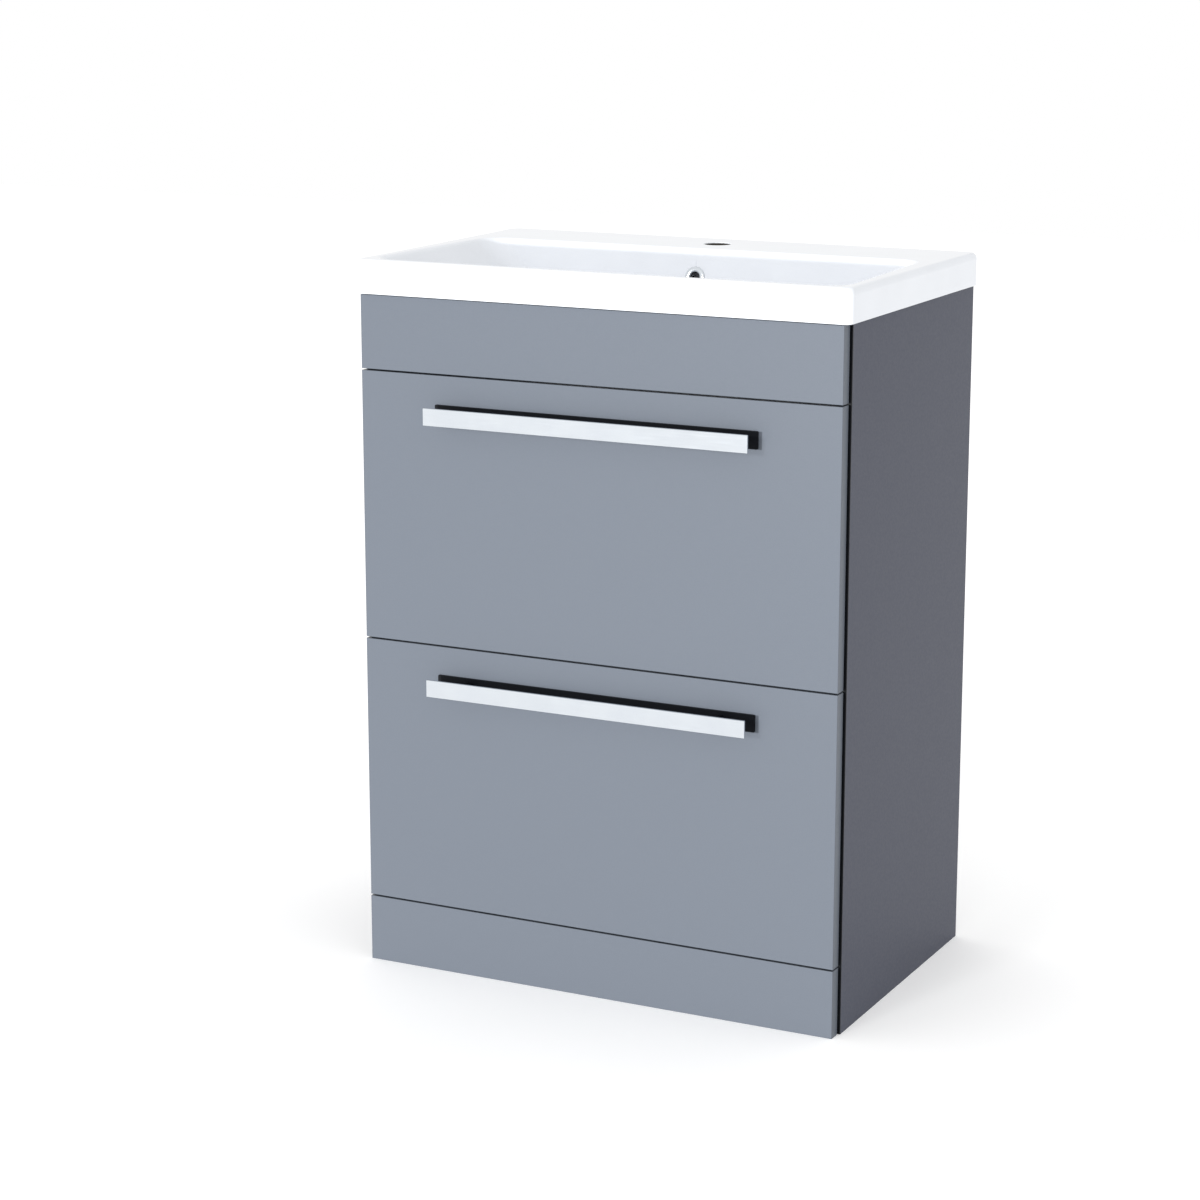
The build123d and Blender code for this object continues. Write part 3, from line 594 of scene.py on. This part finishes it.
def tapHoleProfile():
    # a rounded mouth, a short bore and a wide flare underneath that leaves room for a nut
    shape = basinShape
    radius, mouth, wall = shape["tapRadius"], shape["tapRound"], shape["wall"]
    top, low = shape["tapClear"], -wall - shape["flareClear"]
    points = [(0, top), (radius + mouth, top), (radius + mouth, 0)]
    for step in range(1, shape["mouthSteps"] + 1):
        angle = math.radians(90 * step / shape["mouthSteps"])
        points.append((radius + mouth - mouth * math.sin(angle), -mouth + mouth * math.cos(angle)))
    return points + [(radius, -mouth - shape["tapLand"]), (radius + shape["tapFlare"], low), (0, low)]


makeBasin()
print("basin made")

ringShape = {"outer": 12.3 * mm, "hole": 6.5 * mm, "proud": 1.6 * mm, "tube": 7 * mm,
             "sleeve": 9.95 * mm, "edge": 0.35, "turnSteps": 64, "domeSteps": 9}


def makeOverflowRing():
    # a turned trim ring: domed flange, rolled mouth and a short sleeve in the wall
    shape = ringShape
    outer, hole, proud = shape["outer"], shape["hole"], shape["proud"]
    edge, domeSteps = shape["edge"], shape["domeSteps"]
    middle, reach = (hole + outer) / 2, (outer - hole) / 2
    profile = [(hole, -shape["tube"]), (hole, proud * edge)]
    for step in range(1, domeSteps):
        angle = math.radians(180 * step / domeSteps)
        rise = proud * (edge + (1 - edge) * math.sin(angle) ** 0.6)
        profile.append((middle - reach * math.cos(angle), rise))
    profile += [(outer, proud * edge), (outer, 0), (shape["sleeve"], 0), (shape["sleeve"], -shape["tube"])]
    mesh = lathe("overflowTrim", profile, shape["turnSteps"], overflowPlace())
    mesh.materials.append(finishes["chrome"])
    piece = linkMesh("overflowTrim", mesh)
    smoothFaces(mesh)
    addWeighted(piece)
    bakeModifiers(piece)
    giveTo(piece, "cabinet", "chrome", "overflow_ring")


makeOverflowRing()

barShape = {"round": 0.7 * mm, "steps": 4}


def makeHandle(drawer):
    # a flat polished bar with eased edges
    low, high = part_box(drawer + "_handle_bar")
    piece = linkMesh(drawer + "HandleBar", boxMesh(drawer + "HandleBar", low, high))
    piece.data.materials.append(finishes["chrome"])
    addBevel(piece, barShape["round"], barShape["steps"])
    bakeModifiers(piece)
    smoothFaces(piece.data)
    addWeighted(piece)
    bakeModifiers(piece)
    giveTo(piece, drawer + "_drawer", "chrome", drawer + "_handle_bar")


for drawer in drawers:
    makeHandle(drawer)
print("handles made")


def newTree(name, sockets):
    # a geometry tree with its sockets; returns the tree and its input and output nodes
    tree = bpy.data.node_groups.new(name, "GeometryNodeTree")
    for label, kind in [("Geometry", "Geometry")] + sockets:
        tree.interface.new_socket(name=label, in_out="INPUT", socket_type="NodeSocket" + kind)
    tree.interface.new_socket(name="Geometry", in_out="OUTPUT", socket_type="NodeSocketGeometry")
    return tree, tree.nodes.new("NodeGroupInput"), tree.nodes.new("NodeGroupOutput")


def math2(tree, operation, a, b):
    # math on two operands, each a number or a (node, output) pair
    node = addNode(tree, "ShaderNodeMath", operation=operation)
    for index, value in enumerate((a, b)):
        if isinstance(value, tuple):
            tree.links.new(value[0].outputs[value[1]], node.inputs[index])
        else:
            node.inputs[index].default_value = value
    return node, "Value"


def placeOnPoints(tree, group, result, solid, spin):
    # one solid on every vertex, its Z along the vertex's aim, turned by a seeded random spin
    aim = addNode(tree, "GeometryNodeInputNamedAttribute", data_type="FLOAT_VECTOR", Name="aim")
    along = addNode(tree, "FunctionNodeAlignRotationToVector", [("Vector", aim, "Attribute")], axis="Z")
    turn = addNode(tree, "FunctionNodeRandomValue", [("Seed", group, "Seed")], data_type="FLOAT")
    turn.inputs[3].default_value = spin
    roll = addNode(tree, "FunctionNodeAxisAngleToRotation", [("Angle", turn, 1)], Axis=(0, 0, 1))
    both = addNode(tree, "FunctionNodeRotateRotation", [("Rotation", along, "Rotation"),
                   ("Rotate By", roll, "Rotation")], rotation_space="LOCAL")
    placed = addNode(tree, "GeometryNodeInstanceOnPoints", [("Points", group, "Geometry"),
                     ("Instance", solid, 0), ("Rotation", both, "Rotation")])
    real = addNode(tree, "GeometryNodeRealizeInstances", [("Geometry", placed, "Instances")])
    coated = addNode(tree, "GeometryNodeSetMaterial", [("Geometry", real, "Geometry"),
                     ("Material", group, "Material")])
    tree.links.new(coated.outputs["Geometry"], result.inputs["Geometry"])


def squeezeRadial(tree, solid, factor):
    # moves every point of a solid towards its own Z axis by a factor field
    place = addNode(tree, "GeometryNodeInputPosition")
    flat = addNode(tree, "ShaderNodeVectorMath", [(0, place, 0)], operation="MULTIPLY")
    flat.inputs[1].default_value = (1, 1, 0)
    less = math2(tree, "SUBTRACT", factor, 1.0)
    shift = addNode(tree, "ShaderNodeVectorMath", [(0, flat, 0), ("Scale", less[0], 0)],
                    operation="SCALE")
    return addNode(tree, "GeometryNodeSetPosition", [("Geometry", solid, 0), ("Offset", shift, 0)])


def screwTree():
    # ridged shank with a drawn-in point, a conical or pan head, and a cross recess
    tree, group, result = newTree("crossHeadScrews", [
        ("Shank Length", "Float"), ("Shank Radius", "Float"), ("Thread Pitch", "Float"),
        ("Head Low Radius", "Float"), ("Head Top Radius", "Float"), ("Head Start", "Float"),
        ("Head Height", "Float"), ("Recess Length", "Float"), ("Recess Width", "Float"),
        ("Seed", "Int"), ("Material", "Material")])
    halfPitch = math2(tree, "DIVIDE", (group, "Thread Pitch"), 2.0)
    turns = math2(tree, "DIVIDE", (group, "Shank Length"), halfPitch)
    shank = addNode(tree, "GeometryNodeMeshCylinder", [("Radius", group, "Shank Radius"),
                    ("Depth", group, "Shank Length"), ("Side Segments", turns[0], 0)], Vertices=14)
    place = addNode(tree, "GeometryNodeInputPosition")
    height = addNode(tree, "ShaderNodeSeparateXYZ", [("Vector", place, 0)])
    fromTip = math2(tree, "ADD", (height, "Z"),
                    math2(tree, "DIVIDE", (group, "Shank Length"), 2.0))
    wave = math2(tree, "DIVIDE", math2(tree, "PINGPONG", fromTip, halfPitch), halfPitch)
    ridge = math2(tree, "SUBTRACT", 1.0, math2(tree, "MULTIPLY", wave, 0.2))
    point = addNode(tree, "ShaderNodeMapRange", [("Value", fromTip[0], 0)], To_Min=0.12, To_Max=1.0)
    tree.links.new(math2(tree, "MULTIPLY", (group, "Shank Radius"), 2.5)[0].outputs[0],
                   point.inputs["From Max"])
    threaded = squeezeRadial(tree, shank, math2(tree, "MULTIPLY", ridge, (point, "Result")))
    sink = addNode(tree, "ShaderNodeCombineXYZ")
    tree.links.new(math2(tree, "DIVIDE", (group, "Shank Length"), -2.0)[0].outputs[0], sink.inputs["Z"])
    lowered = addNode(tree, "GeometryNodeTransform", [("Geometry", threaded, 0), ("Translation", sink, 0)])
    head = addNode(tree, "GeometryNodeMeshCone", [("Radius Bottom", group, "Head Low Radius"),
                   ("Radius Top", group, "Head Top Radius"), ("Depth", group, "Head Height")], Vertices=28)
    seat = addNode(tree, "ShaderNodeCombineXYZ", [("Z", group, "Head Start")])
    seated = addNode(tree, "GeometryNodeTransform", [("Geometry", head, 0), ("Translation", seat, 0)])
    whole = addNode(tree, "GeometryNodeMeshBoolean", operation="UNION", solver="EXACT")
    tree.links.new(lowered.outputs[0], whole.inputs["Mesh 2"])
    tree.links.new(seated.outputs[0], whole.inputs["Mesh 2"])
    top = math2(tree, "ADD", (group, "Head Start"), (group, "Head Height"))
    slotPlace = addNode(tree, "ShaderNodeCombineXYZ", [("Z", top[0], 0)])
    cut = addNode(tree, "GeometryNodeMeshBoolean", [("Mesh 1", whole, "Mesh")],
                  operation="DIFFERENCE", solver="EXACT")
    for first, second in (("Recess Length", "Recess Width"), ("Recess Width", "Recess Length")):
        size = addNode(tree, "ShaderNodeCombineXYZ", [("X", group, first), ("Y", group, second),
                       ("Z", group, "Recess Length")])
        arm = addNode(tree, "GeometryNodeMeshCube", [("Size", size, 0)])
        moved = addNode(tree, "GeometryNodeTransform", [("Geometry", arm, 0),
                        ("Translation", slotPlace, 0)], Scale=(1, 1, 0.7))
        tree.links.new(moved.outputs[0], cut.inputs["Mesh 2"])
    placeOnPoints(tree, group, result, cut, math.pi)
    return tree


def padTree():
    # a soft button: straight foot, rounded shoulder, flat top
    tree, group, result = newTree("pressedPads", [("Radius", "Float"), ("Thickness", "Float"),
                                                  ("Seed", "Int"), ("Material", "Material")])
    disc = addNode(tree, "GeometryNodeMeshCylinder", [("Radius", group, "Radius"),
                   ("Depth", group, "Thickness")], Vertices=32, Side_Segments=8)
    place = addNode(tree, "GeometryNodeInputPosition")
    height = addNode(tree, "ShaderNodeSeparateXYZ", [("Vector", place, 0)])
    rise = math2(tree, "MAXIMUM", math2(tree, "DIVIDE", (height, "Z"), (group, "Thickness")), 0.0)
    shoulder = math2(tree, "SUBTRACT", 1.0, math2(tree, "MULTIPLY", math2(tree, "MULTIPLY", rise, rise), 1.1))
    rounded = squeezeRadial(tree, disc, shoulder)
    half = math2(tree, "DIVIDE", (group, "Thickness"), 2.0)
    lift = addNode(tree, "ShaderNodeCombineXYZ", [("Z", half[0], 0)])
    lifted = addNode(tree, "GeometryNodeTransform", [("Geometry", rounded, 0), ("Translation", lift, 0)])
    placeOnPoints(tree, group, result, lifted, 0.0)
    return tree


def fieldOf(name, tree, places, values):
    # a mesh of the tree's solid at each (point, aim)
    mesh = meshFrom(name, [point for point, aim in places], [])
    aims = mesh.attributes.new("aim", "FLOAT_VECTOR", "POINT")
    aims.data.foreach_set("vector", [number for point, aim in places for number in aim])
    piece = linkMesh(name, mesh)
    field = piece.modifiers.new("field", "NODES")
    field.node_group = tree
    for item in tree.interface.items_tree:
        if item.in_out == "INPUT" and item.name in values:
            field[item.identifier] = values[item.name]
    bakeModifiers(piece)
    return piece


screwSizes = {
    "Shank Radius": 1.95 * mm, "Thread Pitch": 1.8 * mm, "Head Low Radius": 2.0 * mm,
    "Head Top Radius": 4.0 * mm, "Head Height": 2.2 * mm, "Recess Length": 4.6 * mm,
    "Recess Width": 0.9 * mm, "Seed": 11,
}
headInset = {"board": 4.0 * mm, "runner": 3.5 * mm}
screwLengths = {"front": 25 * mm, "handle": 25.5 * mm, "rail": 11 * mm, "runner": 13 * mm,
                "fascia": 30 * mm, "block": 38 * mm}


def screwSet(name, body, node, length, places, **changes):
    values = dict(screwSizes, Material=finishes["screw_steel"])
    values["Shank Length"] = length
    values.update({key.replace("_", " "): value for key, value in changes.items()})
    values.setdefault("Head Start", -values["Head Height"])
    piece = fieldOf(name, screws, places, values)
    giveTo(piece, body, "screw_steel", node)


def rowsOf(node, inset):
    low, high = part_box(node)
    return [low.y + inset, (low.y + high.y) / 2, high.y - inset]


def makeDrawerScrews(drawer):
    body = drawer + "_drawer"
    low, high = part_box(drawer + "_front_screws")
    inset = headInset["board"]
    places = [((x, high.y, z), (0, 1, 0)) for x in (low.x + inset, high.x - inset)
              for z in (low.z + inset, high.z - inset)]
    screwSet(drawer + "FrontScrews", body, drawer + "_front_screws", screwLengths["front"], places)
    low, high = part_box(drawer + "_handle_screws")
    pan = {"Head_Start": 0.0, "Head_Height": 2.4 * mm, "Head_Low_Radius": 4.0 * mm,
           "Head_Top_Radius": 2.9 * mm, "Recess_Length": 3.8 * mm}
    places = [((x, high.y - pan["Head_Height"], (low.z + high.z) / 2), (0, 1, 0))
              for x in (low.x + inset, high.x - inset)]
    screwSet(drawer + "HandleScrews", body, drawer + "_handle_screws", screwLengths["handle"], places, **pan)
    node = drawer + "_rail_screws"
    low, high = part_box(node)
    places = [((side * high.x, y, (low.z + high.z) / 2), (side, 0, 0)) for side in (-1, 1)
              for y in rowsOf(node, headInset["runner"])]
    screwSet(drawer + "RailScrews", body, node, screwLengths["rail"], places, Head_Height=1.2 * mm,
             Head_Top_Radius=3.5 * mm, Recess_Length=3.8 * mm)


blockShape = {"fromEnd": 20 * mm, "apart": 10 * mm, "fromBack": 15 * mm}


def makeCabinetScrews():
    node = "runner_screws"
    heads = {"Head_Height": 1.2 * mm, "Head_Top_Radius": 3.5 * mm, "Recess_Length": 3.8 * mm}
    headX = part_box("side_panel_right")[0].x - heads["Head_Height"]
    places = []
    for drawer in drawers:
        railLow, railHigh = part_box(drawer + "_cabinet_rail_right")
        places += [((side * headX, y, (railLow.z + railHigh.z) / 2), (-side, 0, 0))
                   for side in (-1, 1) for y in rowsOf(node, headInset["runner"])]
    screwSet("runnerScrews", "cabinet", node, screwLengths["runner"], places, **heads)
    low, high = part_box("panel_screws")
    railLow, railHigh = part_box("front_rail")
    inset = headInset["board"]
    places = [((x, railHigh.y, (railLow.z + railHigh.z) / 2), (0, 1, 0))
              for x in (low.x + inset, 0, high.x - inset)]
    screwSet("fasciaScrews", "cabinet", "panel_screws", screwLengths["fascia"], places)
    blockLow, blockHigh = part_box("plinth_blocks")
    places = []
    fromEnd, apart = blockShape["fromEnd"], blockShape["apart"]
    for x in (blockLow.x + fromEnd, 0, blockHigh.x - fromEnd):
        places.append(((x - apart, blockHigh.y - blockShape["fromBack"], blockLow.z), (0, 0, -1)))
        places.append(((x + apart, blockHigh.y, (blockLow.z + blockHigh.z) / 2), (0, 1, 0)))
    screwSet("blockScrews", "cabinet", "panel_screws", screwLengths["block"], places)


padShape = {"radius": 5 * mm, "fromEdge": 30 * mm}


def makePads():
    # stops on the cabinet's front edges that the drawer fronts close against
    low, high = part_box("bumpers")
    radius, fromEdge = padShape["radius"], padShape["fromEdge"]
    places = []
    for drawer in drawers:
        frontLow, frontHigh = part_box(drawer + "_drawer_front")
        places += [((x, high.y, z), (0, -1, 0)) for x in (low.x + radius, high.x - radius)
                   for z in (frontLow.z + fromEdge, frontHigh.z - fromEdge)]
    railLow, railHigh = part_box("front_rail")
    screwLow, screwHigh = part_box("panel_screws")
    inset = headInset["board"]
    places += [((x, high.y, (railLow.z + railHigh.z) / 2), (0, -1, 0))
               for x in (screwLow.x + inset, 0, screwHigh.x - inset)]
    piece = fieldOf("frontPads", pads, places, {"Radius": radius, "Thickness": high.y - low.y,
                                               "Seed": 3, "Material": finishes["soft_bumper"]})
    giveTo(piece, "cabinet", "soft_bumper", "bumpers")


screws, pads = screwTree(), padTree()
for drawer in drawers:
    makeDrawerScrews(drawer)
makeCabinetScrews()
makePads()
print("screws and pads made")


cameraLook = {"azimuth": 26.73, "elevation": 12.92, "distance": 3.3, "lens": 90.28,
              "aim": Vector((0.039, -0.060, 0.4872))}


def makeCamera():
    aim = Vector((0, frontY, 0)) + cameraLook["aim"]
    azimuth, elevation = math.radians(cameraLook["azimuth"]), math.radians(cameraLook["elevation"])
    back = Vector((math.sin(azimuth) * math.cos(elevation), -math.cos(azimuth) * math.cos(elevation),
                   math.sin(elevation)))
    data = bpy.data.cameras.new("productCamera")
    data.lens = cameraLook["lens"]
    camera = bpy.data.objects.new("productCamera", data)
    camera.location = aim + back * cameraLook["distance"]
    camera.rotation_euler = back.to_track_quat("Z", "Y").to_euler()
    sceneNow.collection.objects.link(camera)
    sceneNow.camera = camera


sunLooks = {
    "key": {"azimuth": -8, "elevation": 1, "spread": 2, "strength": 2.8},
    "fill": {"azimuth": -14, "elevation": 13, "spread": 8, "strength": 0.8},
}


def makeSun(name, look):
    azimuth, elevation = math.radians(look["azimuth"]), math.radians(look["elevation"])
    data = bpy.data.lights.new(name, "SUN")
    data.energy = look["strength"]
    data.angle = math.radians(look["spread"])
    light = bpy.data.objects.new(name, data)
    back = Vector((math.sin(azimuth) * math.cos(elevation), -math.cos(azimuth) * math.cos(elevation),
                   math.sin(elevation)))
    light.rotation_euler = back.to_track_quat("Z", "Y").to_euler()
    sceneNow.collection.objects.link(light)


def makeStudio():
    world = bpy.data.worlds.new("whiteStudio")
    sceneNow.world = world
    world.use_nodes = True
    sky = world.node_tree.nodes["Background"]
    sky.inputs["Color"].default_value = (1, 1, 1, 1)
    sky.inputs["Strength"].default_value = 1.0
    mesh = meshFrom("floor", [(-8, -8, 0), (8, -8, 0), (8, 8, 0), (-8, 8, 0)], [(0, 1, 2, 3)])
    mesh.materials.append(softMoulding("paleFloor", "F8F8F8", "F5F5F5", 400, 0.8, 0.9, IOR=1.3,
                                       Emission_Color=(1, 1, 1, 1), Emission_Strength=0.19))
    floor = linkMesh("floor", mesh)


makeCamera()
# the key is almost level and evens the fronts, the fill reaches the bowl's rear wall
for name, look in sunLooks.items():
    makeSun(name + "Sun", look)
makeStudio()
print("studio made")
